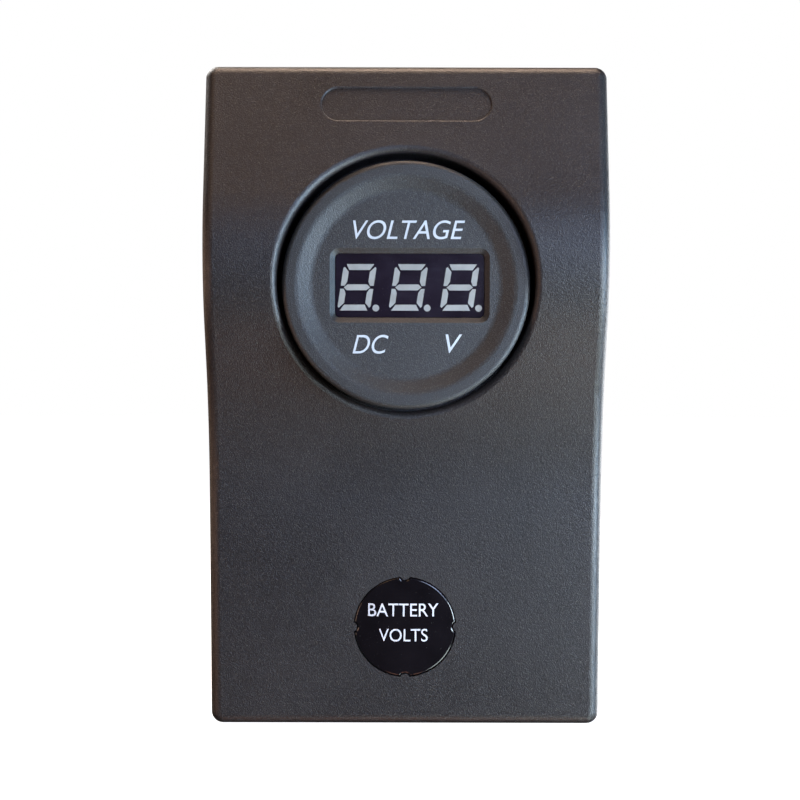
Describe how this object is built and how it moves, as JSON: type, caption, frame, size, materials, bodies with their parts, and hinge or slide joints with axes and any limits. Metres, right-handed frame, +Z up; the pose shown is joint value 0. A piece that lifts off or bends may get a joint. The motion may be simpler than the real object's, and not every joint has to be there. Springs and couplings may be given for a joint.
{
  "type": "surface mount voltmeter",
  "caption": "Humped wall box holding a round DC voltmeter with a digital display, on a base plate with a rear lead opening and a capped cover screw.",
  "frame": {"origin": "centre of the box's back, on the wall's surface", "axes": "+X to the right of a person facing the front, +Y into the wall, +Z up; the front faces -Y"},
  "size_m": [0.06, 0.0499, 0.1],
  "materials": {
    "housing": "fine matte texture",
    "base": "fine matte texture",
    "meter": "fine matte texture",
    "nut": "plain moulded",
    "cap": "gloss",
    "gasket": "soft matte",
    "display_block": "semi-gloss",
    "display_segments": "satin, translucent",
    "tinned_metal": "tinned",
    "board": "solder mask",
    "chip": "moulded epoxy",
    "resistor": "satin",
    "ceramic": "matte ceramic",
    "capacitor_can": "satin",
    "trimmer": "satin",
    "screw_steel": "zinc plated",
    "brass": "machined",
    "blade_brass": "tin-flashed brass"
  },
  "bodies": {
    "base": {"mounting_base": "base", "threaded_insert": "brass"},
    "cover": {"front_housing": "housing", "meter_body": "meter", "meter_gasket": "gasket", "ring_nut": "nut", "led_module": "display_block", "led_segments": "display_segments", "display_pins": "tinned_metal", "circuit_board": "board", "main_chip": "chip", "voltage_regulator": "chip", "resistors": "resistor", "ceramic_capacitors": "ceramic", "filter_capacitor": "capacitor_can", "protection_diode": "chip", "calibration_trimmer": "trimmer", "rear_cap": "nut", "positive_blade": "blade_brass", "negative_blade": "blade_brass", "cover_screw": "screw_steel", "screw_washer": "screw_steel"},
    "cap": {"screw_cap": "cap"}
  },
  "joints": [
    {"name": "cover_lift_off", "type": "slide", "parent": "base", "child": "cover", "axis": [0, -1, 0], "range_m": [0, 0.06]},
    {"name": "cap_pull", "type": "slide", "parent": "cover", "child": "cap", "axis": [0, -0.9919, -0.127], "range_m": [0, 0.012]}
  ]
}
